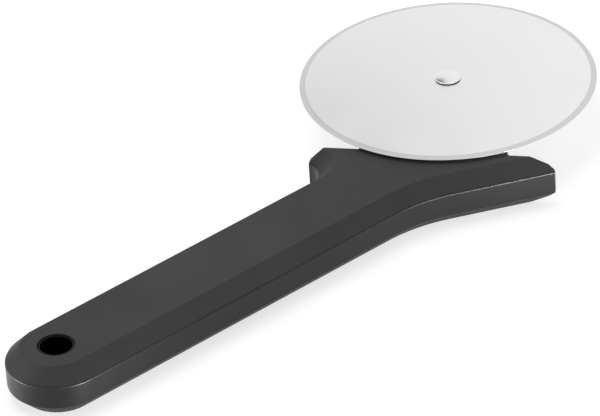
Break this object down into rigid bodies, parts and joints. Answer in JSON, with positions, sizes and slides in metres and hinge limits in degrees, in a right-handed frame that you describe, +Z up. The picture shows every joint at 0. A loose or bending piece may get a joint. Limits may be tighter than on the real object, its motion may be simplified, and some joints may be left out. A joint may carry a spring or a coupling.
{
  "type": "pizza cutter",
  "caption": "Pizza cutter with a flat bevelled handle, an angled guard and a steel wheel that turns on one side of a short arm.",
  "frame": {"origin": "centre of the hanging hole on the handle's flat back, which is the face that the tool lies on", "axes": "+X along the grip towards the wheel, +Y to the left seen from above, +Z up out of the top face and along the wheel's axle"},
  "size_m": [0.2572, 0.1102, 0.0207],
  "materials": {
    "handle_plastic": "satin dark grey moulded plastic with a very fine grain",
    "arm_plastic": "black moulded plastic, slightly smoother than the handle",
    "gloss_black": "gloss black",
    "seal_rubber": "soft black rubber",
    "blade_steel": "satin stainless steel, ground bevel at the rim",
    "polished_steel": "polished stainless steel",
    "turned_steel": "plain turned steel",
    "insert_brass": "plain turned brass",
    "bush_plastic": "pale acetal plastic"
  },
  "bodies": {
    "handle": {"front_shell": "handle_plastic", "back_shell": "handle_plastic", "arm": "arm_plastic", "hang_sleeve": "gloss_black", "head_washer": "gloss_black", "screw_plugs": "handle_plastic", "axle_cap": "arm_plastic", "seal_strip": "seal_rubber", "axle_post": "polished_steel", "arm_sleeve": "turned_steel", "axle_screw": "turned_steel", "back_washer": "turned_steel", "lock_washer": "turned_steel", "shell_screws": "turned_steel", "screw_inserts": "insert_brass", "spacer_washer": "bush_plastic"},
    "wheel": {"blade": "blade_steel", "blade_bush": "bush_plastic"}
  },
  "joints": [
    {"name": "blade_spin", "type": "hinge", "parent": "handle", "child": "wheel", "pos_m": [0.1905, 0.0241, 0.01925], "axis": [0, 0, 1], "continuous": true}
  ]
}
